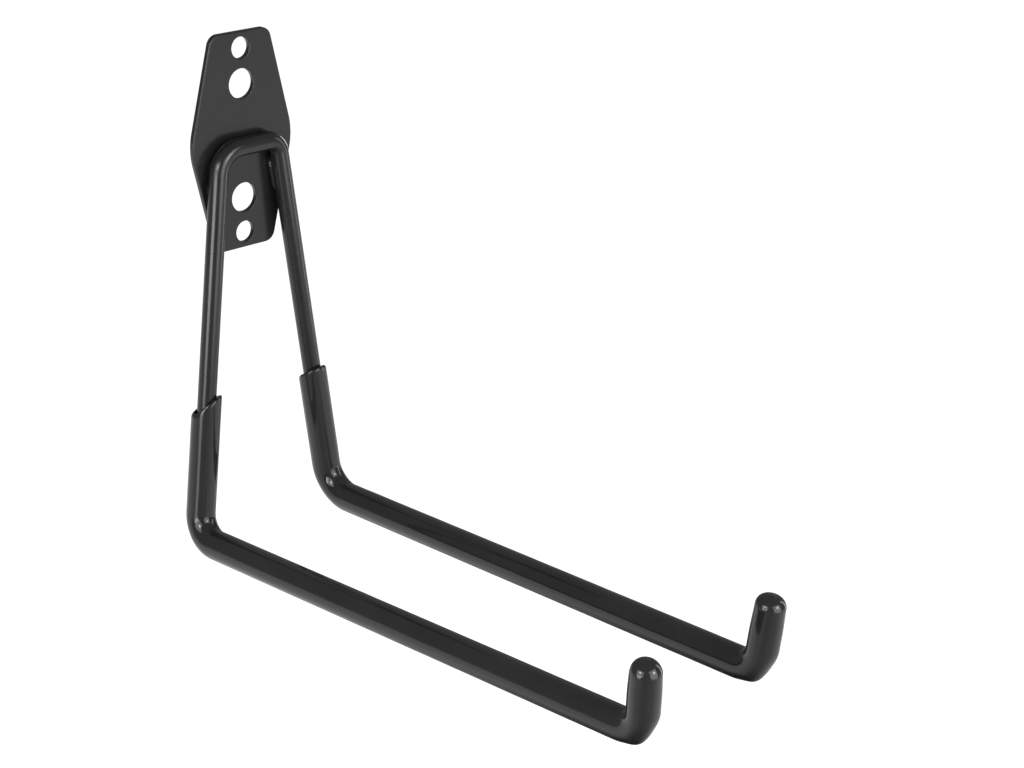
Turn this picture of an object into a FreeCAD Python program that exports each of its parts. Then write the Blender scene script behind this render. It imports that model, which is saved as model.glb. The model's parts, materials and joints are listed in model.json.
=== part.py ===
import FreeCAD, Part
import math
import os

import Sketcher

# Wall-mounted bike rack. A steel plate screws flat to the wall. One bent bar is welded to its
# front: a bridge across the plate, two legs that spread downwards, two arms that reach out from
# the wall, and a short upturned tip on each arm. A dipped plastic sleeve covers each arm.
# The origin is the middle of the plate's back face, on the wall. +X is right for someone who
# faces the wall, -Y points out from the wall and +Z is up. Lengths are in millimetres.

# Driving sizes: name, value, meaning
SIZES = [
    ("plate_thickness", 2.3, "plate from the wall to its front face"),
    ("plate_height", 93.4, "plate from its bottom edge to its top edge"),
    ("plate_end_width", 30.0, "width at the sharp top and bottom corners"),
    ("plate_middle_width", 53.5, "width between the sharp side corners"),
    ("plate_end_rounding", 5.1, "radius of the top and bottom corners"),
    ("plate_middle_rounding", 29.4, "radius of the side corners"),
    ("plate_edge_softness", 0.35, "chamfer along the front edge"),
    ("screw_hole_diameter", 9.2, "outer pair of holes"),
    ("screw_hole_inset", 6.95, "centre of an outer hole from the plate's end"),
    ("anchor_hole_diameter", 12.8, "inner pair of holes"),
    ("hole_pitch", 15.15, "between the centres of an outer hole and the inner hole next to it"),
    ("rod_diameter", 8.0, "bent steel bar"),
    ("rod_end_chamfer", 0.8, "chamfer on the two cut ends of the bar"),
    ("bridge_width", 30.2, "between the sharp corners at the ends of the bridge"),
    ("bridge_drop", 0.85, "bridge below the plate's middle"),
    ("leg_drop", 168.4, "from the bridge down to the sharp elbow corner"),
    ("leg_spread", 73.9, "between the two sharp elbow corners"),
    ("leg_lean", 6.05, "elbow further from the wall than the bridge"),
    ("arm_reach", 254.9, "from the elbow corner out to the sharp tip corner"),
    ("arm_rise", 14.5, "tip corner above the elbow corner"),
    ("arm_toe_in", 4.3, "tip corner closer to the middle than the elbow corner"),
    ("tip_height", 28.2, "from the tip corner up to the cut end of the bar"),
    ("tip_slant", 2.35, "cut end of the bar further out than the tip corner"),
    ("tip_splay", 1.9, "cut end of the bar further from the middle than the tip corner"),
    ("bridge_bend", 9.4, "bend radius between the bridge and a leg, on the bar's axis"),
    ("elbow_bend", 12.2, "bend radius between a leg and an arm"),
    ("tip_bend", 10.1, "bend radius between an arm and its tip"),
    ("sleeve_wall", 2.55, "plastic around the bar"),
    ("sleeve_cap", 2.6, "plastic beyond the cut end of the bar"),
    ("sleeve_climb", 59.8, "sleeve's upper end above the elbow corner, on the leg's axis"),
    ("sleeve_end_angle", 45.0, "slope of the sleeve's upper end, in degrees, higher at the front"),
    ("sleeve_lip_chamfer", 0.9, "chamfer around the sleeve's upper end"),
    ("sleeve_tip_rounding", 4.6, "radius around the closed tip"),
    ("inner_weld_radius", 1.9, "bead on the side of each leg that faces the middle"),
    ("inner_weld_offset", 2.4, "bead's axis from the leg's axis, towards the middle"),
    ("inner_weld_height", 1.5, "bead's axis in front of the plate"),
    ("inner_weld_length", 15.0, "bead from end to end"),
    ("inner_weld_drop", 17.0, "middle of the bead below the bridge"),
    ("outer_weld_radius", 1.3, "bead on the outer side of each leg"),
    ("outer_weld_offset", 1.1, "bead's axis from the leg's axis, away from the middle"),
    ("outer_weld_height", 0.8, "bead's axis in front of the plate"),
    ("outer_weld_length", 14.0, "bead from end to end"),
    ("outer_weld_drop", 21.5, "middle of the bead below the bridge"),
]

SIDES = {"left": -1, "right": 1}
TOLERANCE = 1e-4
PLACES_PER_EDGE = 5

doc = FreeCAD.newDocument("bike_rack")


def make_sheet():
    """Sheet of driving sizes, one row each: name, value, meaning."""
    sheet = doc.addObject("Spreadsheet::Sheet", "Sizes")
    for row, (name, value, meaning) in enumerate(SIZES, start=1):
        sheet.set(f"A{row}", name)
        sheet.set(f"B{row}", str(value))
        sheet.set(f"C{row}", meaning)
        sheet.setAlias(f"B{row}", name)
    doc.recompute()
    return sheet


sheet = make_sheet()


def size(name):
    """Value of a driving size, read back from the sheet."""
    return float(sheet.get(name))


def bind(target, path, formula):
    """Ties a property of an object to a formula of driving sizes."""
    target.setExpression(path, formula)


def bind_constraint(sketch, index, name, formula):
    """Names a sketch's constraint and ties it to a formula of driving sizes."""
    sketch.renameConstraint(index, name)
    bind(sketch, f"Constraints.{name}", formula)


def new_body(name):
    """Body whose Label is its name."""
    body = doc.addObject("PartDesign::Body", name)
    body.Label = name
    return body


def origin_plane(body, role):
    """One of the body's own origin planes."""
    return next(item for item in body.Origin.OriginFeatures if item.Role == role)


def new_sketch(body, name, role):
    """Sketch on one of the body's origin planes."""
    sketch = body.newObject("Sketcher::SketchObject", name)
    sketch.AttachmentSupport = (origin_plane(body, role), [""])
    sketch.MapMode = "FlatFace"
    return sketch


def edges_on_plane(shape, point, normal):
    """Names of the edges that lie wholly in the plane through a point."""
    names = []
    for number, edge in enumerate(shape.Edges, start=1):
        places = edge.discretize(PLACES_PER_EDGE)
        if all(abs((place - point).dot(normal)) < TOLERANCE for place in places):
            names.append(f"Edge{number}")
    return names


def edges_along(shape, direction):
    """Names of the straight edges that run along a direction, with their middles."""
    found = []
    for number, edge in enumerate(shape.Edges, start=1):
        span = edge.Vertexes[-1].Point - edge.Vertexes[0].Point
        if edge.Curve.TypeId == "Part::GeomLine" and span.cross(direction).Length < TOLERANCE:
            found.append((f"Edge{number}", edge.CenterOfMass))
    return found


# Places on one hook, as formulas of the driving sizes

BAR_RADIUS = "Sizes.rod_diameter / 2"
BRIDGE_STANDOFF = f"(Sizes.plate_thickness + {BAR_RADIUS})"
LEG_SPLAY = "((Sizes.leg_spread - Sizes.bridge_width) / 2)"
SCREW_HOLE_HEIGHT = "(Sizes.plate_height / 2 - Sizes.screw_hole_inset)"
ANCHOR_HOLE_HEIGHT = f"({SCREW_HOLE_HEIGHT} - Sizes.hole_pitch)"


def leg_x(drop):
    """Distance of the leg's axis from the middle, at a drop below the bridge."""
    return f"(Sizes.bridge_width / 2 + {LEG_SPLAY} * {drop} / Sizes.leg_drop)"


def leg_standoff(drop):
    """Distance of the leg's axis from the wall, at a drop below the bridge."""
    return f"({BRIDGE_STANDOFF} + Sizes.leg_lean * {drop} / Sizes.leg_drop)"


def bridge_middle():
    """Middle of the bridge's axis."""
    return FreeCAD.Vector(0, -size("plate_thickness") - size("rod_diameter") / 2, -size("bridge_drop"))


def hook_corners(side, beyond_end):
    """Sharp corners of the bar's axis, from the middle of the bridge to the tip's end."""
    bridge = bridge_middle()
    shoulder = bridge + FreeCAD.Vector(side * size("bridge_width") / 2, 0, 0)
    elbow = FreeCAD.Vector(
        side * size("leg_spread") / 2, bridge.y - size("leg_lean"), bridge.z - size("leg_drop")
    )
    tip_corner = elbow + FreeCAD.Vector(-side * size("arm_toe_in"), -size("arm_reach"), size("arm_rise"))
    tip = FreeCAD.Vector(side * size("tip_splay"), -size("tip_slant"), size("tip_height"))
    tip_end = tip_corner + tip + tip.normalize() * beyond_end
    return [bridge, shoulder, elbow, tip_corner, tip_end]


def bent_wire(corners, radii):
    """Straight runs through the corners, with a tangent arc at each inner one."""
    edges = []
    start = corners[0]
    for before, corner, after, radius in zip(corners, corners[1:], corners[2:], radii):
        back = (before - corner).normalize()
        ahead = (after - corner).normalize()
        half_angle = back.getAngle(ahead) / 2
        run_in = corner + back * (radius / math.tan(half_angle))
        run_out = corner + ahead * (radius / math.tan(half_angle))
        bisector = (back + ahead).normalize()
        middle = corner + bisector * (radius / math.sin(half_angle) - radius)
        edges.append(Part.LineSegment(start, run_in).toShape())
        edges.append(Part.Arc(run_in, middle, run_out).toShape())
        start = run_out
    edges.append(Part.LineSegment(start, corners[-1]).toShape())
    return Part.Wire(edges)


def make_axis_line(name, side, beyond_end):
    """Axis of one half of the bar, as a line in space that a pipe can follow."""
    line = doc.addObject("Part::Feature", name)
    bends = [size("bridge_bend"), size("elbow_bend"), size("tip_bend")]
    line.Shape = bent_wire(hook_corners(side, beyond_end), bends)
    return line


def make_half_bar(body, line, diameter):
    """Round pipe along one half of the bar's axis, from the middle of the bridge."""
    profile = new_sketch(body, f"{body.Name}_section", "YZ_Plane")
    centre = FreeCAD.Vector(bridge_middle().y, bridge_middle().z, 0)
    circle = Part.Circle(centre, FreeCAD.Vector(0, 0, 1), size("rod_diameter") / 2)
    profile.addGeometry(circle, False)
    standoff = profile.addConstraint(Sketcher.Constraint("DistanceX", 0, 3, -1, 1, 1))
    drop = profile.addConstraint(Sketcher.Constraint("DistanceY", 0, 3, -1, 1, 1))
    across = profile.addConstraint(Sketcher.Constraint("Diameter", 0, 2))
    bind_constraint(profile, standoff, "standoff", BRIDGE_STANDOFF)
    bind_constraint(profile, drop, "drop", "Sizes.bridge_drop")
    bind_constraint(profile, across, "across", diameter)
    axis = body.newObject("PartDesign::SubShapeBinder", f"{body.Name}_axis")
    axis.Support = [(line, [""])]
    pipe = body.newObject("PartDesign::AdditivePipe", f"{body.Name}_pipe")
    pipe.Profile = profile
    doc.recompute()
    pipe.Spine = (axis, [f"Edge{number}" for number in range(1, len(line.Shape.Edges) + 1)])
    doc.recompute()
    return pipe


def add_hole_pair(body, name, diameter, height, guess):
    """Two round holes through the plate, at the same height above and below its middle."""
    sketch = new_sketch(body, name, "XZ_Plane")
    for place in (guess, -guess):
        centre = FreeCAD.Vector(0, place, 0)
        circle = Part.Circle(centre, FreeCAD.Vector(0, 0, 1), size(diameter) / 2)
        sketch.addGeometry(circle, False)
    sketch.addConstraint(Sketcher.Constraint("PointOnObject", 0, 3, -2))
    sketch.addConstraint(Sketcher.Constraint("Symmetric", 0, 3, 1, 3, -1))
    sketch.addConstraint(Sketcher.Constraint("Equal", 0, 1))
    across = sketch.addConstraint(Sketcher.Constraint("Diameter", 0, size(diameter)))
    apart = sketch.addConstraint(Sketcher.Constraint("DistanceY", 1, 3, 0, 3, 2 * guess))
    bind_constraint(sketch, across, "across", f"Sizes.{diameter}")
    bind_constraint(sketch, apart, "apart", f"2 * {height}")
    pocket = body.newObject("PartDesign::Pocket", f"{name}_cut")
    pocket.Profile = sketch
    pocket.Type = "ThroughAll"
    pocket.SideType = "Symmetric"
    doc.recompute()
    return pocket


def make_back_plate():
    """Six-sided plate with rounded corners, two screw holes and two larger holes."""
    body = new_body("back_plate")
    outline = new_sketch(body, "plate_outline", "XZ_Plane")
    end = size("plate_end_width") / 2
    middle = size("plate_middle_width") / 2
    half = size("plate_height") / 2
    corners = [(-end, -half), (end, -half), (middle, 0), (end, half), (-end, half), (-middle, 0)]
    points = [FreeCAD.Vector(x, z, 0) for x, z in corners]
    for here, there in zip(points, points[1:] + points[:1]):
        outline.addGeometry(Part.LineSegment(here, there), False)
    count = len(points)
    for line in range(count):
        outline.addConstraint(Sketcher.Constraint("Coincident", line, 2, (line + 1) % count, 1))
    bottom, lower_right, upper_right, top, upper_left, lower_left = range(count)
    outline.addConstraint(Sketcher.Constraint("Symmetric", bottom, 1, bottom, 2, -2))
    outline.addConstraint(Sketcher.Constraint("Symmetric", top, 1, top, 2, -2))
    outline.addConstraint(Sketcher.Constraint("Symmetric", bottom, 1, top, 2, -1))
    outline.addConstraint(Sketcher.Constraint("Symmetric", upper_right, 1, lower_left, 1, -2))
    outline.addConstraint(Sketcher.Constraint("PointOnObject", upper_right, 1, -1))
    ends = outline.addConstraint(Sketcher.Constraint("DistanceX", bottom, 1, bottom, 2, 2 * end))
    tall = outline.addConstraint(Sketcher.Constraint("DistanceY", bottom, 1, top, 2, 2 * half))
    wide = outline.addConstraint(
        Sketcher.Constraint("DistanceX", lower_left, 1, upper_right, 1, 2 * middle)
    )
    bind_constraint(outline, ends, "ends", "Sizes.plate_end_width")
    bind_constraint(outline, tall, "tall", "Sizes.plate_height")
    bind_constraint(outline, wide, "wide", "Sizes.plate_middle_width")
    pad = body.newObject("PartDesign::Pad", "plate_pad")
    pad.Profile = outline
    bind(pad, "Length", "Sizes.plate_thickness")
    doc.recompute()

    upright = edges_along(pad.Shape, FreeCAD.Vector(0, 1, 0))
    end_edges = [name for name, place in upright if abs(place.z) > half / 2]
    ends_round = body.newObject("PartDesign::Fillet", "plate_end_corners")
    ends_round.Base = (pad, end_edges)
    bind(ends_round, "Radius", "Sizes.plate_end_rounding")
    doc.recompute()
    upright = edges_along(ends_round.Shape, FreeCAD.Vector(0, 1, 0))
    side_edges = [name for name, place in upright if abs(place.z) < TOLERANCE]
    sides_round = body.newObject("PartDesign::Fillet", "plate_side_corners")
    sides_round.Base = (ends_round, side_edges)
    bind(sides_round, "Radius", "Sizes.plate_middle_rounding")
    doc.recompute()

    front = FreeCAD.Vector(0, -size("plate_thickness"), 0)
    soft = body.newObject("PartDesign::Chamfer", "plate_front_edge")
    soft.Base = (sides_round, edges_on_plane(sides_round.Shape, front, FreeCAD.Vector(0, 1, 0)))
    bind(soft, "Size", "Sizes.plate_edge_softness")
    doc.recompute()
    screw_height = half - size("screw_hole_inset")
    anchor_height = screw_height - size("hole_pitch")
    add_hole_pair(body, "screw_holes", "screw_hole_diameter", SCREW_HOLE_HEIGHT, screw_height)
    add_hole_pair(body, "anchor_holes", "anchor_hole_diameter", ANCHOR_HOLE_HEIGHT, anchor_height)
    return body


def make_hook_rod():
    """One bent bar: the left half is a pipe along its axis and the right half mirrors it."""
    body = new_body("hook_rod")
    line = make_axis_line("bar_axis", SIDES["left"], 0)
    pipe = make_half_bar(body, line, "Sizes.rod_diameter")
    mirrored = body.newObject("PartDesign::Mirrored", "right_half")
    mirrored.Originals = [pipe]
    mirrored.MirrorPlane = (origin_plane(body, "YZ_Plane"), [""])
    body.Tip = mirrored
    doc.recompute()
    cut_edges = []
    for side in SIDES.values():
        tip_corner, tip_end = hook_corners(side, 0)[-2:]
        cut_edges += edges_on_plane(mirrored.Shape, tip_end, (tip_end - tip_corner).normalize())
    chamfer = body.newObject("PartDesign::Chamfer", "cut_ends")
    chamfer.Base = (mirrored, cut_edges)
    bind(chamfer, "Size", "Sizes.rod_end_chamfer")
    doc.recompute()
    return body


def trim_at_dip_line(body):
    """Cuts away all of the pipe above the slanted line to which it was dipped."""
    drop = "(Sizes.leg_drop - Sizes.sleeve_climb)"
    sketch = new_sketch(body, f"{body.Name}_dip_line", "YZ_Plane")
    reach = size("leg_drop")
    leg_place = FreeCAD.Vector(bridge_middle().y - size("leg_lean"), size("sleeve_climb") - reach, 0)
    slope_angle = math.radians(size("sleeve_end_angle"))
    low = FreeCAD.Vector(reach, leg_place.y + (leg_place.x - reach) * math.tan(slope_angle), 0)
    high = FreeCAD.Vector(leg_place.x + (leg_place.y - reach) / math.tan(slope_angle), reach, 0)
    behind = FreeCAD.Vector(reach, reach, 0)
    for here, there in ((low, high), (high, behind), (behind, low)):
        sketch.addGeometry(Part.LineSegment(here, there), False)
    dip, top, back = range(3)
    for line, following in ((dip, top), (top, back), (back, dip)):
        sketch.addConstraint(Sketcher.Constraint("Coincident", line, 2, following, 1))
    sketch.addConstraint(Sketcher.Constraint("Horizontal", top))
    sketch.addConstraint(Sketcher.Constraint("Vertical", back))
    on_leg = sketch.addGeometry(Part.Point(leg_place), True)
    sketch.addConstraint(Sketcher.Constraint("PointOnObject", on_leg, 1, dip))
    out = sketch.addConstraint(Sketcher.Constraint("DistanceX", on_leg, 1, -1, 1, 1))
    down = sketch.addConstraint(Sketcher.Constraint("DistanceY", on_leg, 1, -1, 1, -leg_place.y))
    above = sketch.addConstraint(Sketcher.Constraint("DistanceY", -1, 1, top, 1, reach))
    wall = sketch.addConstraint(Sketcher.Constraint("DistanceX", -1, 1, back, 1, reach))
    slope = sketch.addConstraint(Sketcher.Constraint("Angle", dip, 2, top, 1, slope_angle))
    bind_constraint(sketch, out, "out", leg_standoff(drop))
    bind_constraint(sketch, down, "down", f"Sizes.bridge_drop + {drop}")
    bind_constraint(sketch, above, "above", "Sizes.leg_drop")
    bind_constraint(sketch, wall, "wall", "Sizes.leg_drop")
    bind_constraint(sketch, slope, "slope", "Sizes.sleeve_end_angle * 1 deg")
    pocket = body.newObject("PartDesign::Pocket", f"{body.Name}_trim")
    pocket.Profile = sketch
    pocket.Type = "ThroughAll"
    pocket.SideType = "Symmetric"
    doc.recompute()
    return pocket


def make_sleeve(name, side, rod):
    """Dipped plastic over one arm: round, cut slantwise on the leg and closed over the tip."""
    body = new_body(f"{name}_outside")
    line = make_axis_line(f"{name}_axis_line", side, size("sleeve_cap"))
    make_half_bar(body, line, "Sizes.rod_diameter + 2 * Sizes.sleeve_wall")
    trimmed = trim_at_dip_line(body)

    corners = hook_corners(side, size("sleeve_cap"))
    shoulder, elbow, tip_corner, tip_end = corners[1:]
    on_leg = elbow + (shoulder - elbow) * (size("sleeve_climb") / size("leg_drop"))
    slope = math.radians(size("sleeve_end_angle"))
    dip_normal = FreeCAD.Vector(0, math.sin(slope), math.cos(slope))
    lip = body.newObject("PartDesign::Chamfer", f"{name}_lip")
    lip.Base = (trimmed, edges_on_plane(trimmed.Shape, on_leg, dip_normal))
    bind(lip, "Size", "Sizes.sleeve_lip_chamfer")
    doc.recompute()
    closed = body.newObject("PartDesign::Fillet", f"{name}_tip")
    closed.Base = (lip, edges_on_plane(lip.Shape, tip_end, (tip_end - tip_corner).normalize()))
    bind(closed, "Radius", "Sizes.sleeve_tip_rounding")
    doc.recompute()
    return cut_from(name, body, rod)


def cut_from(name, base, tool):
    """Sub-part that is a base less a tool."""
    cut = doc.addObject("Part::Cut", name)
    cut.Label = name
    cut.Base = base
    cut.Tool = tool
    doc.recompute()
    return cut


def make_plate_block():
    """Block that fills all behind the plate's front face, to give the weld beads a flat seat."""
    block = doc.addObject("Part::Box", "behind_plate_front")
    bind(block, "Length", "Sizes.plate_middle_width")
    bind(block, "Width", "Sizes.plate_thickness + Sizes.inner_weld_radius")
    bind(block, "Height", "Sizes.plate_height")
    bind(block, "Placement.Base.x", "-Sizes.plate_middle_width / 2")
    bind(block, "Placement.Base.y", "-Sizes.plate_thickness")
    bind(block, "Placement.Base.z", "-Sizes.plate_height / 2")
    doc.recompute()
    return block


def make_weld(side_name, kind, away, rod, block):
    """Bead with tapered ends along one leg, seated on the plate and shaped to the bar."""
    side = SIDES[side_name]
    name = f"{side_name}_{kind}_weld"
    body = new_body(f"{name}_bead")
    radius, half = size(f"{kind}_weld_radius"), size(f"{kind}_weld_length") / 2
    sketch = new_sketch(body, f"{name}_outline", "XZ_Plane")
    outline = [(0, half), (0, -half), (radius, radius - half), (radius, half - radius)]
    points = [FreeCAD.Vector(x, z, 0) for x, z in outline]
    for here, there in zip(points, points[1:] + points[:1]):
        sketch.addGeometry(Part.LineSegment(here, there), False)
    core, lower_end, flank, upper_end = range(len(points))
    for line, following in ((core, lower_end), (lower_end, flank), (flank, upper_end), (upper_end, core)):
        sketch.addConstraint(Sketcher.Constraint("Coincident", line, 2, following, 1))
    sketch.addConstraint(Sketcher.Constraint("Symmetric", core, 1, core, 2, -1, 1))
    sketch.addConstraint(Sketcher.Constraint("PointOnObject", core, 1, -2))
    sketch.addConstraint(Sketcher.Constraint("Symmetric", flank, 1, flank, 2, -1))
    around = sketch.addConstraint(Sketcher.Constraint("DistanceX", -1, 1, flank, 1, radius))
    taper = sketch.addConstraint(Sketcher.Constraint("DistanceY", core, 2, flank, 1, radius))
    along = sketch.addConstraint(Sketcher.Constraint("DistanceY", core, 2, core, 1, 2 * half))
    bind_constraint(sketch, around, "around", f"Sizes.{kind}_weld_radius")
    bind_constraint(sketch, taper, "taper", f"Sizes.{kind}_weld_radius")
    bind_constraint(sketch, along, "along", f"Sizes.{kind}_weld_length")
    bead = body.newObject("PartDesign::Revolution", f"{name}_revolve")
    bead.Profile = sketch
    bead.ReferenceAxis = (sketch, ["V_Axis"])

    drop = f"Sizes.{kind}_weld_drop"
    splay = math.degrees(math.atan((size("leg_spread") - size("bridge_width")) / 2 / size("leg_drop")))
    body.Placement.Rotation = FreeCAD.Rotation(FreeCAD.Vector(0, 1, 0), splay)
    bind(body, "Placement.Base.x", f"{side} * ({leg_x(drop)} + {away} * Sizes.{kind}_weld_offset)")
    bind(body, "Placement.Base.y", f"-(Sizes.plate_thickness + Sizes.{kind}_weld_height)")
    bind(body, "Placement.Base.z", f"-(Sizes.bridge_drop + {drop})")
    bind(body, "Placement.Rotation.Angle", f"-{side} * atan({LEG_SPLAY} / Sizes.leg_drop)")
    doc.recompute()
    seated = cut_from(f"{name}_seated", body, block)
    return cut_from(name, seated, rod)


def check_document(parts):
    """Stops if any object failed, or if a sub-part has no valid solid."""
    for item in doc.Objects:
        if "Invalid" in item.State or "Error" in item.State:
            raise RuntimeError(f"{item.Label} did not build: {item.State}")
    for part in parts:
        shape = part.Shape
        if shape.isNull() or not shape.isValid() or len(shape.Solids) != 1:
            raise RuntimeError(f"{part.Label} is not one valid solid")


def main():
    """Builds every sub-part, checks the document and writes one file for each."""
    back_plate = make_back_plate()
    hook_rod = make_hook_rod()
    parts = [back_plate, hook_rod]
    for side_name, side in SIDES.items():
        parts.append(make_sleeve(f"{side_name}_sleeve", side, hook_rod))
    block = make_plate_block()
    for side_name in SIDES:
        parts.append(make_weld(side_name, "inner", -1, hook_rod, block))
        parts.append(make_weld(side_name, "outer", 1, hook_rod, block))
    doc.recompute()
    check_document(parts)
    os.makedirs("parts", exist_ok=True)
    for part in parts:
        part.Shape.exportStep(f"parts/{part.Label}.step")
        print(part.Label, round(part.Shape.Volume, 1))


main()
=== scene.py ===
import json
import math

import bmesh
import bpy
from mathutils import Matrix, Vector, noise


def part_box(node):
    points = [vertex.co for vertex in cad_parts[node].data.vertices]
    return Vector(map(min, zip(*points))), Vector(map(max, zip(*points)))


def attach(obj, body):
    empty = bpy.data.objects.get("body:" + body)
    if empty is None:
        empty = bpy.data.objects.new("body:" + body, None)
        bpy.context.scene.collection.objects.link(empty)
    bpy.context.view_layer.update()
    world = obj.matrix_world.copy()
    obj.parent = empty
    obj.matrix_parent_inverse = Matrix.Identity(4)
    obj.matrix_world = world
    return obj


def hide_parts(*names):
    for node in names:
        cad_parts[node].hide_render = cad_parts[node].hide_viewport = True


# Looks of the wall-mounted bike rack. Lengths are in metres in the part's own frame: the plate's
# back face lies on the wall at y = 0, -Y points out from the wall and +Z is up.

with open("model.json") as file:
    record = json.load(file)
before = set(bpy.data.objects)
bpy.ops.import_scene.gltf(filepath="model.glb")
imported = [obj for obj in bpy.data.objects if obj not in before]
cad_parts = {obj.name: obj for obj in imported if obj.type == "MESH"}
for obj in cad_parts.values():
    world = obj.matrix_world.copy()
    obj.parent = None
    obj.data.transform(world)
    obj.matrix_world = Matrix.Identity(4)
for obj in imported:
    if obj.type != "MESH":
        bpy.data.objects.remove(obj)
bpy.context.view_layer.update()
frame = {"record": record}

MM = 0.001
SIDES = {"left": -1, "right": 1}

# Plate. Its front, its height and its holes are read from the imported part.
plate_low, plate_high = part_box("back_plate")
PLATE_FRONT = plate_low.y
PLATE_HALF_HEIGHT = plate_high.z
MOUNTS = {mount["name"]: mount["dims"] for mount in frame["record"]["mounts"]}
PLATE_HALF_END = 15.0 * MM
PLATE_HALF_MIDDLE = 26.75 * MM
PLATE_END_ROUNDING = 5.1 * MM
PLATE_MIDDLE_ROUNDING = 29.4 * MM
PLATE_CORNER_STEPS = 20
PLATE_FRONT_SOFTNESS = 0.5 * MM
PLATE_FRONT_STEPS = 6
PLATE_BACK_SOFTNESS = 0.15 * MM
PLATE_BACK_STEPS = 3
HOLE_SOFTNESS = 0.35 * MM
HOLE_SIDES = 72

# Bar: the sharp corners of its axis, its bends and its cut ends. Its two sides differ a little.
ROD_RADIUS = 4.0 * MM
BRIDGE_HALF = 15.1 * MM
BRIDGE_Z = -0.85 * MM
LEG_DROP = {"left": 168.4 * MM, "right": 168.1 * MM}
LEG_HALF_SPREAD = 36.95 * MM
LEG_LEAN = 6.05 * MM
ARM_REACH = 254.9 * MM
ARM_RISE = 14.5 * MM
ARM_TOE_IN = 4.3 * MM
TIP_HEIGHT = 28.2 * MM
TIP_SLANT = 2.35 * MM
BENDS = {
    "left": {"bridge": 11.3 * MM, "elbow": 12.0 * MM, "tip": 10.1 * MM},
    "right": {"bridge": 6.6 * MM, "elbow": 13.8 * MM, "tip": 10.1 * MM},
}
ROD_CHAMFER = 0.8 * MM
ROD_STEP = 3 * MM
ROD_BEND_STEPS = 22
ROD_SIDES = 64

# Dipped sleeve: how far it climbs the leg, the normal of its slanted end and how far the lip droops
DIPS = {
    "left": {"climb": 61.2 * MM, "normal": Vector((-0.38, 0.56, 1.0)), "droop": 1.6 * MM},
    "right": {"climb": 61.0 * MM, "normal": Vector((-0.11, 0.61, 1.0)), "droop": 0.6 * MM},
}
LEG_SLEEVE_RADIUS = 6.34 * MM
ARM_SLEEVE_RADIUS = 6.44 * MM
TIP_SLEEVE_RADIUS = 6.34 * MM
TIP_END_RADIUS = 6.02 * MM
TIP_TAPER_LENGTH = 12.0 * MM
BORE_RADIUS = ROD_RADIUS + 0.03 * MM
SLEEVE_STEP = 1.6 * MM
SLEEVE_BEND_STEPS = 26
SLEEVE_SIDES = 96
# Slow unevenness of the plastic: height, and scale per metre
COAT_WAVES = [(0.03 * MM, 90), (0.012 * MM, 300)]

# Upper lip of the sleeve. The gap around the bar opens by the flare on the side that droops.
LIP_GAP = 0.45 * MM
LIP_FLARE = 0.8 * MM
DROOP_SIDE = Vector((-0.985, -0.174, 0))
DROOP_POWER = 10
# From the bar outwards: share of the gap, further width, and depth below the slanted end
LIP_PROFILE = [(0.0, 0.0, 2.2 * MM), (0.8, 0.0, 1.32 * MM), (1.0, 0.0, 0.72 * MM), (1.1, 0.0, 0.405 * MM),
               (1.2, 0.15 * MM, 0.1575 * MM)]
LIP_FACE_GAP_SHARE = 1.25
LIP_FACE_WIDTH = 0.3 * MM
LIP_SHOULDER = 2.0 * MM
LIP_SHOULDER_SHARES = [0.0, 0.12, 0.25, 0.38, 0.5, 0.62, 0.74, 0.87, 1.0]
LIP_LUMP = 0.3 * MM
LIP_LUMP_SCALE = 260
LIP_BLEND_LENGTH = 16.0 * MM
LIP_BLEND_STEPS = 12

# Closed tips: plastic beyond the bar, its rounding, the crown of its face, and the splay of the bar
TIPS = {
    "left": {"cap": 2.6 * MM, "round_out": 4.6 * MM, "round_down": 5.2 * MM, "crown": 0.35 * MM,
             "splay": 2.1 * MM},
    "right": {"cap": 3.4 * MM, "round_out": 4.0 * MM, "round_down": 4.0 * MM, "crown": 0.6 * MM,
              "splay": 1.4 * MM},
}
TIP_TILT = 0.06
TIP_TILT_BLEND = 2 * MM
TIP_DOME_STEPS = 12
TIP_DOME_MARGIN = 0.5 * MM
TIP_FACE_SHARES = [0.75, 0.5, 0.25]
# Sag on the outside of the tip's bend: height, how far round the bend it lies, and its spread
TIP_SAGS = [(0.55 * MM, 0.36, 0.11), (-0.25 * MM, 0.12, 0.12), (-0.7 * MM, 0.72, 0.2)]

# Weld beads on the legs. Their axis lies outwards from the leg's axis by the offset and in front of
# the plate by the height, and their middle lies below the bridge by the drop.
BEADS = {
    "inner": {"radius": 1.9 * MM, "offset": -2.8 * MM, "height": 1.3 * MM, "length": 15.0 * MM,
              "drop": 15.8 * MM},
    "outer": {"radius": 1.2 * MM, "offset": 1.1 * MM, "height": 0.75 * MM, "length": 13.6 * MM,
              "drop": 21.5 * MM},
}
# Shape of a bead, in shares of its radius, and of its length where it turns calm and thin
BEAD_END_LENGTH = 1.6
BEAD_RIPPLE = 0.14
BEAD_RIPPLE_POWER = 1.5
BEAD_RIPPLE_LENGTH = 3.2 * MM
BEAD_LAG = 0.175
BEAD_UNEVENNESS = 0.07
BEAD_UNEVENNESS_SCALE = 500
BEAD_CALM_START = 0.2
BEAD_CALM_END = 0.55
BEAD_THINNING = 0.35
BEAD_POLE_SHARE = 0.98
BEAD_STEPS = 72
BEAD_SIDES = 28

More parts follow.
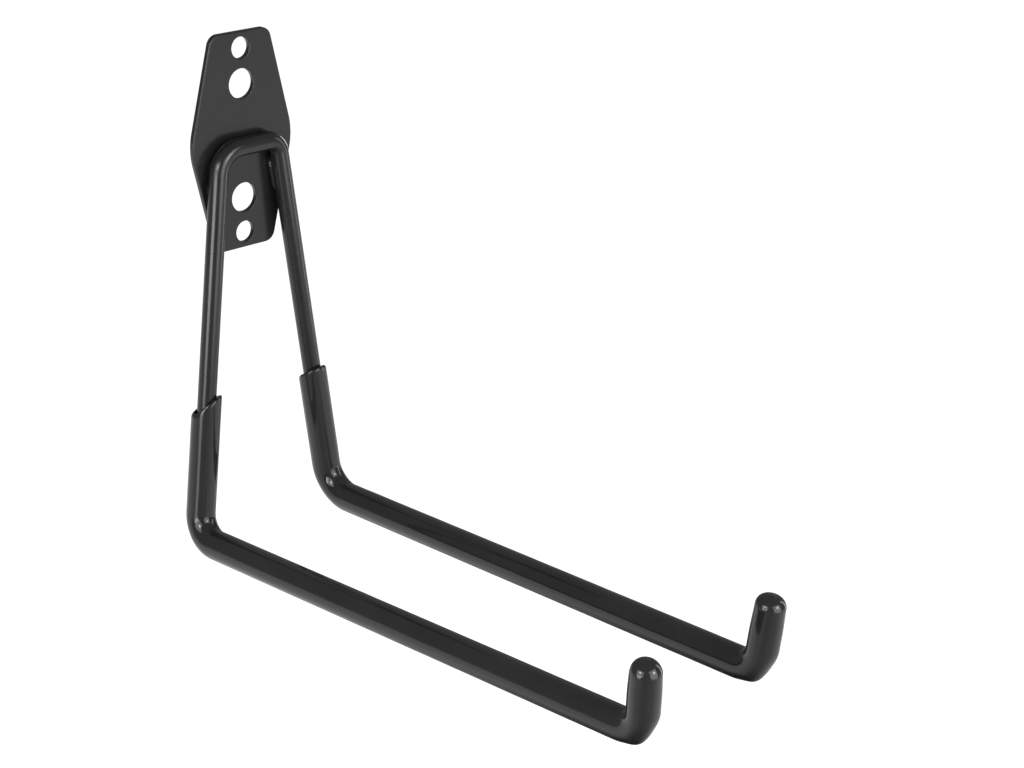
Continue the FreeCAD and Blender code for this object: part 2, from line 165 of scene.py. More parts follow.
# Coats: the base colour's two ends, three noises (scale per metre, detail, roughness), the roughness
# that a range of the grain gives, and the height and strength of each relief
COATS = {
    # Satin: a wide peel under a fine grain
    "powder_coat": {
        "dark": (0.0125, 0.0118, 0.0122, 1), "pale": (0.0165, 0.0156, 0.0161, 1),
        "cloud": (60, 3, 0.5), "grain": (2600, 2, 0.5), "wave": (900, 1, 0.5),
        "roughness": (0.17, 0.25), "grain_range": (0.3, 0.7),
        "wave_relief": (0.012 * MM, 0.35), "grain_relief": (0.003 * MM, 0.4),
    },
    # Glossy: slow ripples under fine pits, which scuff the gloss
    "dipped_vinyl": {
        "dark": (0.0155, 0.0148, 0.0148, 1), "pale": (0.0195, 0.0186, 0.0184, 1),
        "cloud": (45, 3, 0.5), "grain": (420, 5, 0.6), "wave": (130, 2, 0.5),
        "roughness": (0.07, 0.13), "grain_range": (0.35, 0.65),
        "wave_relief": (0.06 * MM, 0.3), "grain_relief": (0.012 * MM, 0.3),
    },
}
CLOUD_RANGE = (0.3, 0.7)
COAT_IOR = 1.5

# Camera, its lens set for a picture 1024 pixels wide and 768 high
PICTURE_WIDTH = 1024
SENSOR_WIDTH = 36.0
CAMERA_FOCAL_PIXELS = 2168.19
CAMERA_AZIMUTH = math.radians(-45.04)
CAMERA_ELEVATION = math.radians(22.07)
CAMERA_ROLL = math.radians(1.34)
CAMERA_OFFSET = Vector((-114.48, -102.63, 911.43)) * MM
CAMERA_NEAR = 0.01
CAMERA_FAR = 100

# Soft lamps: name, azimuth, elevation, distance, width, height, brightness; angles in degrees
LAMPS = [
    ("left_high", -77, 29, 0.75, 46, 22, 2.6),
    ("left_middle", -78, 11, 0.75, 46, 12, 3.0),
    ("left_band", -78, 1, 0.75, 30, 8, 8.0),
    ("left_low", -79, -6, 0.75, 24, 6, 4.0),
    ("left_lower", -80, -13, 0.75, 18, 8, 2.0),
    ("left_core", -74, 28, 0.74, 13, 13, 10.0),
    ("right_high", 7, 28, 0.75, 42, 20, 2.6),
    ("right_middle", 5, 7, 0.75, 42, 22, 3.0),
    ("right_low", 5, -9, 0.75, 30, 10, 2.2),
    ("right_core", 11, 22, 0.74, 12, 12, 10.0),
    ("side_strip", 66, 8, 0.75, 12, 48, 2.6),
]
LIGHT_CENTRE = Vector((0, -0.08, -0.11))
# Small card behind the bridge with a narrow beam, for the bright edge of the bridge's bend
RIM_CARD = {"place": Vector((90, 30, -3)) * MM, "target": Vector((15, -8, -3)) * MM, "width": 18 * MM,
            "height": 34 * MM, "beam": math.radians(80), "brightness": 0.8}

# Floor and room. The camera sees the floor lifted to white.
FLOOR_Z = -0.6
FLOOR_RADIUS = 9.0
FLOOR_SIDES = 96
FLOOR_GREY = 0.8
CAMERA_LIFT = 0.88
CEILING_LEVEL = 0.22
BELOW_HORIZON_LEVEL = 0.3
HORIZON_BLEND = 0.02
# Painted light: a glow on the floor that only gloss sees, standing in for a lit white sheet. It begins
# and is full at two distances from its centre, which paints shade under the object, its painted level
# goes by azimuth, and between two further distances it turns to its far level
PAINTED_GLOW_CENTRE = Vector((0, -0.14, 0))
PAINTED_GLOW_START = 0.1
PAINTED_GLOW_FULL = 0.5
PAINTED_GLOW_LEVELS = [(-180, 1.0), (-128, 0.95), (-90, 0.6), (-45, 0.32), (-5, 0.5), (35, 0.96), (80, 0.85),
                (108, 0.78), (132, 0.2), (150, 0.3), (165, 0.75), (176, 1.0)]
PAINTED_GLOW_FAR_START = 1.5
PAINTED_GLOW_FAR_END = 6.0
PAINTED_GLOW_FAR_LEVEL = 0.16


# Paths

def smooth_step(low, high, value):
    """Share of the way from low to high, held at 0 and 1 and smooth between them."""
    share = min(1.0, max(0.0, (value - low) / (high - low)))
    return share * share * (3 - 2 * share)


def hook_corners(name):
    """Sharp corners of the bar's axis on one side, from the shoulder down to the cut end."""
    side = SIDES[name]
    y = PLATE_FRONT - ROD_RADIUS
    shoulder = Vector((side * BRIDGE_HALF, y, BRIDGE_Z))
    elbow = Vector((side * LEG_HALF_SPREAD, y - LEG_LEAN, BRIDGE_Z - LEG_DROP[name]))
    tip_corner = elbow + Vector((-side * ARM_TOE_IN, -ARM_REACH, ARM_RISE))
    tip_end = tip_corner + Vector((side * TIPS[name]["splay"], -TIP_SLANT, TIP_HEIGHT))
    return [shoulder, elbow, tip_corner, tip_end]


def stations(corners, radii, straight_step, bend_steps):
    """Places along straight runs joined by tangent arcs.

    Each place is a dict of its point, the tangent, the way to the outside of its bend, the number
    of the bend and how far round that bend it is, from 0 to 1. On a run the outside is None.
    """
    places = []
    start = corners[0]

    def run(a, b, count_last):
        steps = max(1, round((b - a).length / straight_step))
        tangent = (b - a).normalized()
        for step in range(steps + (1 if count_last else 0)):
            point = a.lerp(b, step / steps)
            places.append({"point": point, "tangent": tangent, "outside": None, "bend": None,
                           "turn": 0.0})

    bends = zip(corners, corners[1:], corners[2:], radii)
    for number, (before, corner, after, radius) in enumerate(bends):
        back = (before - corner).normalized()
        ahead = (after - corner).normalized()
        half = back.angle(ahead) / 2
        reach = radius / math.tan(half)
        run_in = corner + back * reach
        run(start, run_in, False)
        middle = (back + ahead).normalized()
        centre = corner + middle * (radius / math.sin(half))
        spoke = (run_in - centre).normalized()
        sweep = math.pi - 2 * half
        for step in range(bend_steps):
            share = step / bend_steps
            angle = sweep * share
            out = spoke * math.cos(angle) - back * math.sin(angle)
            tangent = -spoke * math.sin(angle) - back * math.cos(angle)
            places.append({"point": centre + out * radius, "tangent": tangent, "outside": out,
                           "bend": number, "turn": share})
        start = corner + ahead * reach
    run(start, corners[-1], True)
    length = 0.0
    for number, place in enumerate(places):
        if number:
            length += (place["point"] - places[number - 1]["point"]).length
        place["length"] = length
    for place in places:
        place["to_end"] = length - place["length"]
    return places


def add_axes(places, first_across):
    """Gives each place two directions square to its tangent, carried along without twist."""
    across = first_across
    for place in places:
        across = (across - place["tangent"] * across.dot(place["tangent"])).normalized()
        place["across"] = across
        place["beside"] = place["tangent"].cross(across)


def spoke_at(place, angle):
    """Unit direction out from the axis at an angle around it."""
    return place["across"] * math.cos(angle) + place["beside"] * math.sin(angle)


# Meshes

def new_piece(name, vertices, faces, smooth=True):
    """Object with a mesh in place."""
    mesh = bpy.data.meshes.new(name)
    mesh.from_pydata([tuple(v) for v in vertices], [], faces)
    mesh.validate()
    piece = bpy.data.objects.new(name, mesh)
    bpy.context.scene.collection.objects.link(piece)
    for polygon in mesh.polygons:
        polygon.use_smooth = smooth
    return piece


def skin_rings(name, rings, first_pole, last_pole):
    """Closed skin over rings of equal count, with a point that closes each end."""
    count = len(rings[0])
    vertices = [first_pole] + [v for ring in rings for v in ring] + [last_pole]
    faces = []
    for step in range(count):
        following = (step + 1) % count
        faces.append((0, 1 + following, 1 + step))
        for ring in range(len(rings) - 1):
            low = 1 + ring * count
            high = low + count
            faces.append((low + step, low + following, high + following, high + step))
        last = 1 + (len(rings) - 1) * count
        faces.append((last + step, last + following, len(vertices) - 1))
    piece = new_piece(name, vertices, faces)
    clean = bmesh.new()
    clean.from_mesh(piece.data)
    bmesh.ops.recalc_face_normals(clean, faces=clean.faces)
    clean.to_mesh(piece.data)
    clean.free()
    return piece


def angles_around(count):
    """Even angles around an axis."""
    return [2 * math.pi * step / count for step in range(count)]


def make_rod():
    """Bent bar from one cut end to the other."""
    corners = hook_corners("left")[::-1] + hook_corners("right")
    radii = [BENDS["left"][name] for name in ("tip", "elbow", "bridge")]
    radii += [BENDS["right"][name] for name in ("bridge", "elbow", "tip")]
    places = stations(corners, radii, ROD_STEP, ROD_BEND_STEPS)
    add_axes(places, Vector((0, 1, 0)))
    around = angles_around(ROD_SIDES)
    rings = []
    last = len(places) - 1
    for number, place in enumerate(places):
        full = [spoke_at(place, a) * ROD_RADIUS for a in around]
        if number == last:
            rings.append([place["point"] - place["tangent"] * ROD_CHAMFER + spoke for spoke in full])
        shrink = ROD_CHAMFER if number in (0, last) else 0.0
        rings.append([place["point"] + spoke_at(place, a) * (ROD_RADIUS - shrink) for a in around])
        if number == 0:
            rings.append([place["point"] + place["tangent"] * ROD_CHAMFER + spoke for spoke in full])
    return skin_rings("hook_rod_coated", rings, places[0]["point"], places[-1]["point"])


def sleeve_radius(place):
    """Outer radius of the plastic at a place on the axis, thicker on the arm than on the leg."""
    round_bend = smooth_step(0, 1, place["turn"])
    if place["bend"] == 0:
        return LEG_SLEEVE_RADIUS + (ARM_SLEEVE_RADIUS - LEG_SLEEVE_RADIUS) * round_bend
    if place["bend"] == 1:
        return ARM_SLEEVE_RADIUS + (TIP_SLEEVE_RADIUS - ARM_SLEEVE_RADIUS) * round_bend
    on_arm = abs(place["tangent"].y) > 0.5
    if on_arm:
        return ARM_SLEEVE_RADIUS
    if place["tangent"].z < 0:
        return LEG_SLEEVE_RADIUS
    taper = smooth_step(TIP_TAPER_LENGTH, 0, place["to_end"])
    return TIP_SLEEVE_RADIUS + (TIP_END_RADIUS - TIP_SLEEVE_RADIUS) * taper


def coat_waver(point):
    """Slow unevenness of the dipped plastic, in metres."""
    return sum(height * noise.noise(point * scale) for height, scale in COAT_WAVES)


def lip_rings(name, first, dip, leg_up, around):
    """Rings from the bore's upper end over the slanted lip and its shoulder to the sleeve's wall."""
    normal, down = DIPS[name]["normal"], -leg_up
    wall_radius = sleeve_radius(first)

    def on_dip(angle, radius):
        """Point of the slanted end at a distance from the leg's axis."""
        spoke = spoke_at(first, angle) * radius
        lowness = max(0.0, spoke_at(first, angle).dot(DROOP_SIDE)) ** DROOP_POWER
        droop = DIPS[name]["droop"] * lowness * radius / LEG_SLEEVE_RADIUS
        return dip + spoke - leg_up * (spoke.dot(normal) / leg_up.dot(normal) + droop)

    def gap(angle):
        """Width of the gap between the plastic and the bar."""
        return LIP_GAP + LIP_FLARE * max(0.0, spoke_at(first, angle).dot(DROOP_SIDE)) ** 2

    rings = []
    for gap_share, width, depth in LIP_PROFILE:
        rings.append([on_dip(a, BORE_RADIUS + gap(a) * gap_share + width) + down * depth for a in around])

    # Rounded shoulder: a curve from the end face, around the sharp corner, to the wall
    for share in LIP_SHOULDER_SHARES:
        ring = []
        for a in around:
            inner = on_dip(a, BORE_RADIUS + gap(a) * LIP_FACE_GAP_SHARE + LIP_FACE_WIDTH)
            corner = on_dip(a, wall_radius)
            wall = corner + down * LIP_SHOULDER
            point = inner * (1 - share) ** 2 + corner * (2 * share * (1 - share)) + wall * share ** 2
            lump = noise.noise(point * LIP_LUMP_SCALE) * LIP_LUMP * (1 - share)
            ring.append(point + down * (LIP_LUMP - lump))
        rings.append(ring)

    # Wall below the lip, from the slant to the first square ring
    for step in range(1, LIP_BLEND_STEPS):
        share = step / LIP_BLEND_STEPS
        ring = []
        for a in around:
            wall = on_dip(a, wall_radius) + down * LIP_SHOULDER
            square = first["point"] + spoke_at(first, a) * wall_radius
            point = wall.lerp(square, share)
            ring.append(point + spoke_at(first, a) * (coat_waver(point) * smooth_step(0, 1, share)))
        rings.append(ring)
    return rings


def wall_rings(name, places, around):
    """Rings of the sleeve's wall, from the leg to the start of the closed tip."""
    dome_start = TIPS[name]["round_down"] - TIPS[name]["cap"]
    rings = []
    for place in places:
        if place["to_end"] < dome_start + TIP_DOME_MARGIN:
            continue
        ring = []
        for a in around:
            spoke = spoke_at(place, a)
            point = place["point"] + spoke * (sleeve_radius(place) + tip_sag(place, spoke))
            ring.append(point + spoke * coat_waver(point))
        rings.append(ring)
    return rings


def tip_rings(name, last, around):
    """Rings of the closed tip: a rounding and a slightly crowned face."""
    tip = TIPS[name]
    rings = []
    for step in range(TIP_DOME_STEPS + 1):
        turn = math.pi / 2 * step / TIP_DOME_STEPS
        radius = TIP_END_RADIUS - tip["round_out"] * (1 - math.cos(turn))
        height = tip["cap"] - tip["round_down"] * (1 - math.sin(turn))
        rings.append(tip_ring(last, around, radius, height))
    for share in TIP_FACE_SHARES:
        height = tip["cap"] + tip["crown"] * (1 - share ** 2)
        rings.append(tip_ring(last, around, (TIP_END_RADIUS - tip["round_out"]) * share, height))
    return rings


def tip_ring(place, around, radius, height):
    """Ring of the closed tip. The end face leans a little towards the front."""
    front = Vector((0, -1, 0))
    ring = []
    for a in around:
        spoke = spoke_at(place, a) * radius
        lean = -TIP_TILT * spoke.dot(front) * smooth_step(-TIP_TILT_BLEND, TIP_TILT_BLEND, height)
        point = place["point"] + spoke + place["tangent"] * (height + lean)
        ring.append(point + spoke_at(place, a) * coat_waver(point))
    return ring


def tip_sag(place, spoke):
    """Extra plastic on the outside of the tip's bend: it sags to the lowest corner."""
    if place["bend"] != 1:
        return 0.0
    outer = max(0.0, spoke.dot(place["outside"]))
    sag = 0.0
    for height, turn, spread in TIP_SAGS:
        sag += height * math.exp(-((place["turn"] - turn) / spread) ** 2)
    return outer ** 2 * sag


def make_sleeve(name):
    """Dipped plastic over one arm: bore, slanted lip, wall and closed tip."""
    shoulder, elbow, tip_corner, tip_end = hook_corners(name)
    leg_up = (shoulder - elbow).normalized()
    dip = elbow + leg_up * DIPS[name]["climb"]
    corners = [dip - leg_up * LIP_BLEND_LENGTH, elbow, tip_corner, tip_end]
    radii = [BENDS[name]["elbow"], BENDS[name]["tip"]]
    places = stations(corners, radii, SLEEVE_STEP, SLEEVE_BEND_STEPS)
    add_axes(places, Vector((0, 1, 0)))
    first, last = places[0], places[-1]
    around = angles_around(SLEEVE_SIDES)
    rings = [[p["point"] + spoke_at(p, a) * BORE_RADIUS for a in around] for p in reversed(places)]
    rings += lip_rings(name, first, dip, leg_up, around)
    rings += wall_rings(name, places, around)
    rings += tip_rings(name, last, around)
    pole = last["point"] + last["tangent"] * (TIPS[name]["cap"] + TIPS[name]["crown"])
    sleeve = skin_rings(f"{name}_sleeve_dipped", rings, last["point"], pole)
    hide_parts(f"{name}_sleeve")
    return sleeve


def make_bead(side_name, kind):
    """Weld bead along a leg: overlapping ripples between tapered ends, calm and thin further down."""
    bead = BEADS[kind]
    length, radius = bead["length"], bead["radius"]
    shoulder, elbow = hook_corners(side_name)[:2]
    along = (elbow - shoulder).normalized()
    outward = Vector((SIDES[side_name], 0, 0))
    outward = (outward - along * outward.dot(along)).normalized()
    middle = shoulder + along * bead["drop"] + outward * bead["offset"]
    middle.y = PLATE_FRONT - bead["height"]
    across = Vector((0, -1, 0))
    across = (across - along * across.dot(along)).normalized()
    beside = along.cross(across)
    rings = []
    for step in range(1, BEAD_STEPS):
        share = step / BEAD_STEPS
        from_end = min(share, 1 - share) * length
        end_shape = math.sin(math.pi / 2 * min(1.0, from_end / (BEAD_END_LENGTH * radius)))
        phase = (share * length / BEAD_RIPPLE_LENGTH) % 1.0
        calm = smooth_step(BEAD_CALM_START, BEAD_CALM_END, share)
        ripple = 1 - BEAD_RIPPLE * phase ** BEAD_RIPPLE_POWER * (1 - calm) - BEAD_THINNING * calm
        ring = []
        for a in angles_around(BEAD_SIDES):
            spoke = across * math.cos(a) + beside * math.sin(a)
            lag = BEAD_LAG * radius * (1 - math.cos(a))
            point = middle + along * ((share - 0.5) * length - lag)
            bump_here = noise.noise((point + spoke * radius) * BEAD_UNEVENNESS_SCALE)
            uneven = min(1.0, 1 + BEAD_UNEVENNESS * bump_here)
            ring.append(point + spoke * (radius * end_shape * ripple * uneven))
        rings.append(ring)
    half = along * (length / 2)
    piece = skin_rings(f"{side_name}_{kind}_bead", rings, middle - half, middle + half * BEAD_POLE_SHARE)
    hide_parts(f"{side_name}_{kind}_weld")
    return piece


# Plate

def rounded_outline(corners, radii, steps):
    """Points around a polygon with rounded corners, each with its outward direction."""
    outline = []
    count = len(corners)
    for number, (corner, radius) in enumerate(zip(corners, radii)):
        before, after = corners[number - 1], corners[(number + 1) % count]
        back, ahead = (before - corner).normalized(), (after - corner).normalized()
        half = back.angle(ahead) / 2
        centre = corner + (back + ahead).normalized() * (radius / math.sin(half))
        start = corner + back * (radius / math.tan(half)) - centre
        sweep = math.pi - 2 * half
        for step in range(steps + 1):
            angle = sweep * step / steps
            turned = Vector((start.x * math.cos(angle) - start.y * math.sin(angle),
                             start.x * math.sin(angle) + start.y * math.cos(angle)))
            outline.append((centre + turned, turned.normalized()))
    return outline


def circle_outline(centre, radius, count):
    """Points around a hole, each with the direction out of the metal, to the hole's centre."""
    outline = []
    for angle in angles_around(count):
        spoke = Vector((math.cos(angle), math.sin(angle)))
        outline.append((centre + spoke * radius, -spoke))
    return outline


def edge_levels(softness):
    """Inset and depth of each ring of an edge, from the rounded front to the rounded back."""
    levels = []
    for step in range(PLATE_FRONT_STEPS + 1):
        turn = math.pi / 2 * step / PLATE_FRONT_STEPS
        levels.append((softness * (1 - math.sin(turn)), PLATE_FRONT + softness * (1 - math.cos(turn))))
    for step in range(PLATE_BACK_STEPS + 1):
        turn = math.pi / 2 * step / PLATE_BACK_STEPS
        inset = PLATE_BACK_SOFTNESS * (1 - math.cos(turn))
        levels.append((inset, -PLATE_BACK_SOFTNESS * (1 - math.sin(turn))))
    return levels


def plate_contours():
    """Outline of the plate and of its four holes, each with the softness of its front edge."""
    end, middle, half = PLATE_HALF_END, PLATE_HALF_MIDDLE, PLATE_HALF_HEIGHT
    places = ((-end, -half), (end, -half), (middle, 0), (end, half), (-end, half), (-middle, 0))
    radii = [PLATE_END_ROUNDING, PLATE_END_ROUNDING, PLATE_MIDDLE_ROUNDING] * 2
    outline = rounded_outline([Vector(place) for place in places], radii, PLATE_CORNER_STEPS)
    contours = [(outline, PLATE_FRONT_SOFTNESS)]
    for mount in ("screw_holes", "anchor_holes"):
        spacing, radius = MOUNTS[mount]["spacing_y_mm"] * MM, MOUNTS[mount]["hole_r_mm"] * MM
        for height in (spacing / 2, -spacing / 2):
            contours.append((circle_outline(Vector((0, height)), radius, HOLE_SIDES), HOLE_SOFTNESS))
    return contours


def make_plate():
    """Plate with rounded corners, four round holes and softened edges."""
    mesh = bmesh.new()
    front_edges, back_edges = [], []
    for contour, softness in plate_contours():
        rings = []
        for inset, y in edge_levels(softness):
            points = [(p.x - out.x * inset, y, p.y - out.y * inset) for p, out in contour]
            rings.append([mesh.verts.new(point) for point in points])
        count = len(contour)
        for near, far in zip(rings, rings[1:]):
            for step in range(count):
                following = (step + 1) % count
                face = mesh.faces.new((near[step], near[following], far[following], far[step]))
                face.smooth = True
        for ring, edges in ((rings[0], front_edges), (rings[-1], back_edges)):
            edges += [mesh.edges.get((ring[step], ring[(step + 1) % count])) for step in range(count)]
    for edges in (front_edges, back_edges):
        bmesh.ops.triangle_fill(mesh, edges=edges, use_beauty=True)
    bmesh.ops.recalc_face_normals(mesh, faces=mesh.faces)
    data = bpy.data.meshes.new("back_plate_coated")
    mesh.to_mesh(data)
    mesh.free()
    plate = bpy.data.objects.new("back_plate_coated", data)
    bpy.context.scene.collection.objects.link(plate)
    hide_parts("back_plate")
    return plate


# Materials

def new_material(name):
    """Empty node material, its nodes and its links."""
    material = bpy.data.materials.new(name)
    material.use_nodes = True
    nodes, links = material.node_tree.nodes, material.node_tree.links
    nodes.clear()
    return material, nodes, links


def noise_node(nodes, links, source, scale, detail, roughness):
    """Noise of a scale per metre."""
    node = nodes.new("ShaderNodeTexNoise")
    node.inputs["Scale"].default_value = scale
    node.inputs["Detail"].default_value = detail
    node.inputs["Roughness"].default_value = roughness
    links.new(source, node.inputs["Vector"])
    return node


def math_node(nodes, links, operation, first, second):
    """Sum, product and the like of two values, each a number or a socket."""
    node = nodes.new("ShaderNodeMath")
    node.operation = operation
    for number, value in enumerate((first, second)):
        if isinstance(value, (int, float)):
            node.inputs[number].default_value = value
        else:
            links.new(value, node.inputs[number])
    return node


def ranged(nodes, links, source, low, high, from_low=0.0, from_high=1.0, kind="LINEAR"):
    """Value mapped to a range."""
    node = nodes.new("ShaderNodeMapRange")
    node.interpolation_type = kind
    node.inputs["From Min"].default_value = from_low
    node.inputs["From Max"].default_value = from_high
    node.inputs["To Min"].default_value = low
    node.inputs["To Max"].default_value = high
    links.new(source, node.inputs["Value"])
    return node


def bump(nodes, links, source, distance, strength, before=None):
    """Bump of a height in metres, over another one if given."""
    node = nodes.new("ShaderNodeBump")
    node.inputs["Distance"].default_value = distance
    node.inputs["Strength"].default_value = strength
    links.new(source, node.inputs["Height"])
    if before:
        links.new(before.outputs["Normal"], node.inputs["Normal"])
    return node


def make_coat(name):
    """Black coat: a faint cloud in its colour, a grain in its gloss, and a slow and a fine relief."""
    coat = COATS[name]
    material, nodes, links = new_material(name)
    place = nodes.new("ShaderNodeTexCoord").outputs["Object"]
    shader = nodes.new("ShaderNodeBsdfPrincipled")
    shader.inputs["IOR"].default_value = COAT_IOR
    output = nodes.new("ShaderNodeOutputMaterial")
    links.new(shader.outputs["BSDF"], output.inputs["Surface"])

    cloud = noise_node(nodes, links, place, *coat["cloud"])
    colour = nodes.new("ShaderNodeValToRGB")
    for stop, position, end in zip(colour.color_ramp.elements, CLOUD_RANGE, ("dark", "pale")):
        stop.position = position
        stop.color = coat[end]
    links.new(cloud.outputs["Fac"], colour.inputs["Fac"])
    links.new(colour.outputs["Color"], shader.inputs["Base Color"])

    grain = noise_node(nodes, links, place, *coat["grain"])
    gloss = ranged(nodes, links, grain.outputs["Fac"], *coat["roughness"], *coat["grain_range"])
    links.new(gloss.outputs["Result"], shader.inputs["Roughness"])

    wave = noise_node(nodes, links, place, *coat["wave"])
    slow = bump(nodes, links, wave.outputs["Fac"], *coat["wave_relief"])
    fine = bump(nodes, links, grain.outputs["Fac"], *coat["grain_relief"], slow)
    links.new(fine.outputs["Normal"], shader.inputs["Normal"])
    return material


def make_powder_coat():
    """Satin black powder coat: orange peel, fine grain and a faint unevenness."""
    return make_coat("powder_coat")


def make_dipped_vinyl():
    """Glossy black dipped plastic: slow ripples, fine pits and faint scuffs."""
    return make_coat("dipped_vinyl")


# Studio

def direction(azimuth, elevation):
    """Unit direction. Azimuth 0 points along -Y and 90 along +X; both angles are in degrees."""
    a, e = math.radians(azimuth), math.radians(elevation)
    return Vector((math.sin(a) * math.cos(e), -math.cos(a) * math.cos(e), math.sin(e)))


def add_flat_lamp(name, place, target, width, height, brightness):
    """Flat lamp at a place, turned to a target. Its brightness is that of its face, 1 being white."""
    light = bpy.data.lights.new(name, "AREA")
    light.shape = "RECTANGLE"
    light.size = width
    light.size_y = height
    light.energy = brightness * math.pi * width * height
    lamp = bpy.data.objects.new(name, light)
    bpy.context.scene.collection.objects.link(lamp)
    lamp.location = place
    lamp.rotation_mode = "QUATERNION"
    lamp.rotation_quaternion = (place - target).to_track_quat("Z", "Y")
    lamp.visible_camera = False
    return lamp


def add_soft_lamp(name, azimuth, elevation, distance, width, height, brightness):
    """Soft lamp that faces the object. Width and height are the angles it fills, in degrees."""
    place = LIGHT_CENTRE + direction(azimuth, elevation) * distance
    size = [2 * distance * math.tan(math.radians(angle / 2)) for angle in (width, height)]
    add_flat_lamp(name, place, LIGHT_CENTRE, *size, brightness)


def add_rim_card():
    """Card whose narrow beam reaches only the bridge."""
    card = RIM_CARD
    lamp = add_flat_lamp("rim_card", card["place"], card["target"], card["width"], card["height"],
                         card["brightness"])
    lamp.data.spread = card["beam"]


def level_by_azimuth(nodes, links, place):
    """Painted level of the floor's glow by the azimuth of a place seen from the glow's centre."""
    turned = nodes.new("ShaderNodeMapping")
    turned.inputs["Rotation"].default_value = (0, 0, math.pi / 2)
    links.new(place, turned.inputs["Vector"])
    azimuth = nodes.new("ShaderNodeTexGradient")
    azimuth.gradient_type = "RADIAL"
    links.new(turned.outputs["Vector"], azimuth.inputs["Vector"])
    around = nodes.new("ShaderNodeValToRGB")
    around.color_ramp.interpolation = "EASE"
    stops = around.color_ramp.elements
    while len(stops) < len(PAINTED_GLOW_LEVELS):
        stops.new(1.0)
    for stop, (angle, level) in zip(stops, PAINTED_GLOW_LEVELS):
        stop.position = (angle + 180) / 360
        stop.color = (level, level, level, 1)
    links.new(azimuth.outputs["Fac"], around.inputs["Fac"])
    return around.outputs["Color"]


def painted_glow_for_gloss(nodes, links):
    """Painted glow that only gloss sees, standing in for a white sheet: begun a little way out, which
    paints shade under the object, varied round about and even far out.
    """
    place = nodes.new("ShaderNodeVectorMath")
    place.operation = "SUBTRACT"
    links.new(nodes.new("ShaderNodeTexCoord").outputs["Object"], place.inputs[0])
    place.inputs[1].default_value = PAINTED_GLOW_CENTRE + Vector((0, 0, FLOOR_Z))
    far = nodes.new("ShaderNodeVectorMath")
    far.operation = "LENGTH"
    links.new(place.outputs[0], far.inputs[0])
    # Painted shade: the glow is dark near its centre, under the object
    begun = ranged(nodes, links, far.outputs["Value"], 0.0, 1.0, PAINTED_GLOW_START, PAINTED_GLOW_FULL, "SMOOTHSTEP")
    farness = ranged(nodes, links, far.outputs["Value"], 0.0, 1.0, PAINTED_GLOW_FAR_START, PAINTED_GLOW_FAR_END,
                     "SMOOTHSTEP")
    level = nodes.new("ShaderNodeMix")
    level.inputs["B"].default_value = PAINTED_GLOW_FAR_LEVEL
    links.new(farness.outputs["Result"], level.inputs["Factor"])
    links.new(level_by_azimuth(nodes, links, place.outputs[0]), level.inputs["A"])
    return math_node(nodes, links, "MULTIPLY", begun.outputs["Result"], level.outputs["Result"])


def make_pale_floor():
    """Floor material: lifted to white for the camera, a painted glow for gloss, and grey for all else."""
    material, nodes, links = new_material("pale_floor")
    path = nodes.new("ShaderNodeLightPath")
    mirrored = math_node(nodes, links, "MAXIMUM", path.outputs["Is Glossy Ray"],
                         path.outputs["Is Transmission Ray"])
    # Painted glow, seen only by glossy and transmission rays
    shown = math_node(nodes, links, "MULTIPLY", painted_glow_for_gloss(nodes, links).outputs[0], mirrored.outputs[0])
    seen = math_node(nodes, links, "MULTIPLY", path.outputs["Is Camera Ray"], CAMERA_LIFT)
    lift = math_node(nodes, links, "ADD", seen.outputs[0], shown.outputs[0])
    white = nodes.new("ShaderNodeEmission")
    white.inputs["Color"].default_value = (1, 1, 1, 1)
    links.new(lift.outputs[0], white.inputs["Strength"])
    unlit = math_node(nodes, links, "SUBTRACT", 1.0, mirrored.outputs[0])
    grey = math_node(nodes, links, "MULTIPLY", unlit.outputs[0], FLOOR_GREY)
    diffuse = nodes.new("ShaderNodeBsdfDiffuse")
    links.new(grey.outputs[0], diffuse.inputs["Color"])
    both = nodes.new("ShaderNodeAddShader")
    links.new(diffuse.outputs[0], both.inputs[0])
    links.new(white.outputs[0], both.inputs[1])
    output = nodes.new("ShaderNodeOutputMaterial")
    links.new(both.outputs[0], output.inputs["Surface"])
    return material


def make_floor():
    """Round pale floor that shows as white to the camera and keeps the shadow on it."""
    rim = [Vector((math.cos(a), math.sin(a), 0)) * FLOOR_RADIUS for a in angles_around(FLOOR_SIDES)]
    points = [Vector((0, 0, FLOOR_Z)) + spoke for spoke in rim]
    floor = new_piece("floor", points, [tuple(range(FLOOR_SIDES))], smooth=False)
    floor.data.materials.append(make_pale_floor())


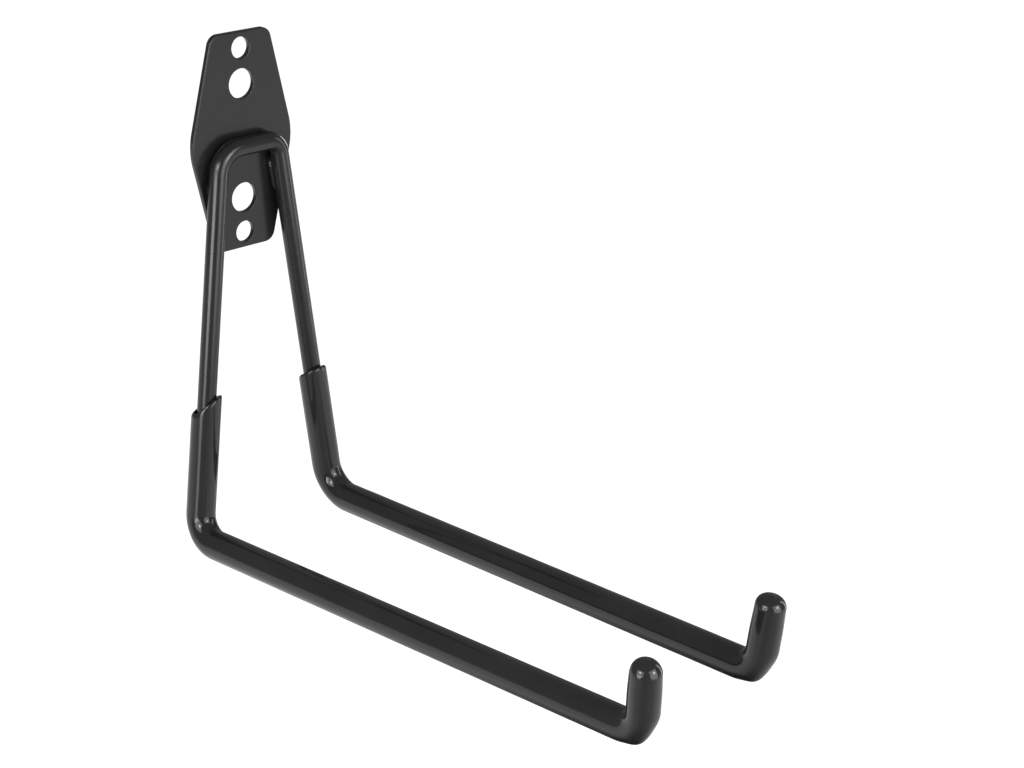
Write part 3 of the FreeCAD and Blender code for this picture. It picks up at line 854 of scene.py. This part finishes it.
def make_world():
    """Room: white behind what the camera sees, pale at the horizon and dark overhead."""
    world = bpy.data.worlds.new("studio")
    bpy.context.scene.world = world
    world.use_nodes = True
    nodes, links = world.node_tree.nodes, world.node_tree.links
    nodes.clear()
    path = nodes.new("ShaderNodeLightPath")
    up = nodes.new("ShaderNodeSeparateXYZ")
    links.new(nodes.new("ShaderNodeTexCoord").outputs["Generated"], up.inputs[0])
    level = ranged(nodes, links, up.outputs["Z"], BELOW_HORIZON_LEVEL, CEILING_LEVEL, -HORIZON_BLEND,
                   HORIZON_BLEND)
    room = nodes.new("ShaderNodeBackground")
    links.new(level.outputs["Result"], room.inputs["Strength"])
    white = nodes.new("ShaderNodeBackground")
    white.inputs["Strength"].default_value = 1.0
    for background in (room, white):
        background.inputs["Color"].default_value = (1, 1, 1, 1)
    mix = nodes.new("ShaderNodeMixShader")
    links.new(path.outputs["Is Camera Ray"], mix.inputs["Fac"])
    links.new(room.outputs[0], mix.inputs[1])
    links.new(white.outputs[0], mix.inputs[2])
    output = nodes.new("ShaderNodeOutputWorld")
    links.new(mix.outputs[0], output.inputs["Surface"])


def make_camera():
    """Camera at the photograph's view."""
    data = bpy.data.cameras.new("camera")
    camera = bpy.data.objects.new("camera", data)
    bpy.context.scene.collection.objects.link(camera)
    data.sensor_width = SENSOR_WIDTH
    data.lens = CAMERA_FOCAL_PIXELS * SENSOR_WIDTH / PICTURE_WIDTH
    data.clip_start, data.clip_end = CAMERA_NEAR, CAMERA_FAR
    back = direction(math.degrees(CAMERA_AZIMUTH), math.degrees(CAMERA_ELEVATION))
    level = Vector((math.cos(CAMERA_AZIMUTH), math.sin(CAMERA_AZIMUTH), 0))
    upright = level.cross(-back)
    right = level * math.cos(CAMERA_ROLL) + upright * math.sin(CAMERA_ROLL)
    up = -level * math.sin(CAMERA_ROLL) + upright * math.cos(CAMERA_ROLL)
    place = -(right * CAMERA_OFFSET.x - up * CAMERA_OFFSET.y - back * CAMERA_OFFSET.z)
    turn = Matrix((right, up, back)).transposed().to_4x4()
    camera.matrix_world = Matrix.Translation(place) @ turn
    bpy.context.scene.camera = camera


def main():
    """Builds the pieces, dresses them and sets up the studio."""
    make_camera()
    make_world()
    make_floor()
    for lamp in LAMPS:
        add_soft_lamp(*lamp)
    add_rim_card()
    bpy.context.scene.view_settings.view_transform = "Standard"

    coat = make_powder_coat()
    vinyl = make_dipped_vinyl()
    plate = make_plate()
    rod = make_rod()
    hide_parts("hook_rod")
    for piece in (plate, rod):
        piece.data.materials.append(coat)
        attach(piece, "root")
    for name in SIDES:
        sleeve = make_sleeve(name)
        sleeve.data.materials.append(vinyl)
        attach(sleeve, "root")
        for kind in BEADS:
            bead = make_bead(name, kind)
            bead.data.materials.append(coat)
            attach(bead, "root")


main()
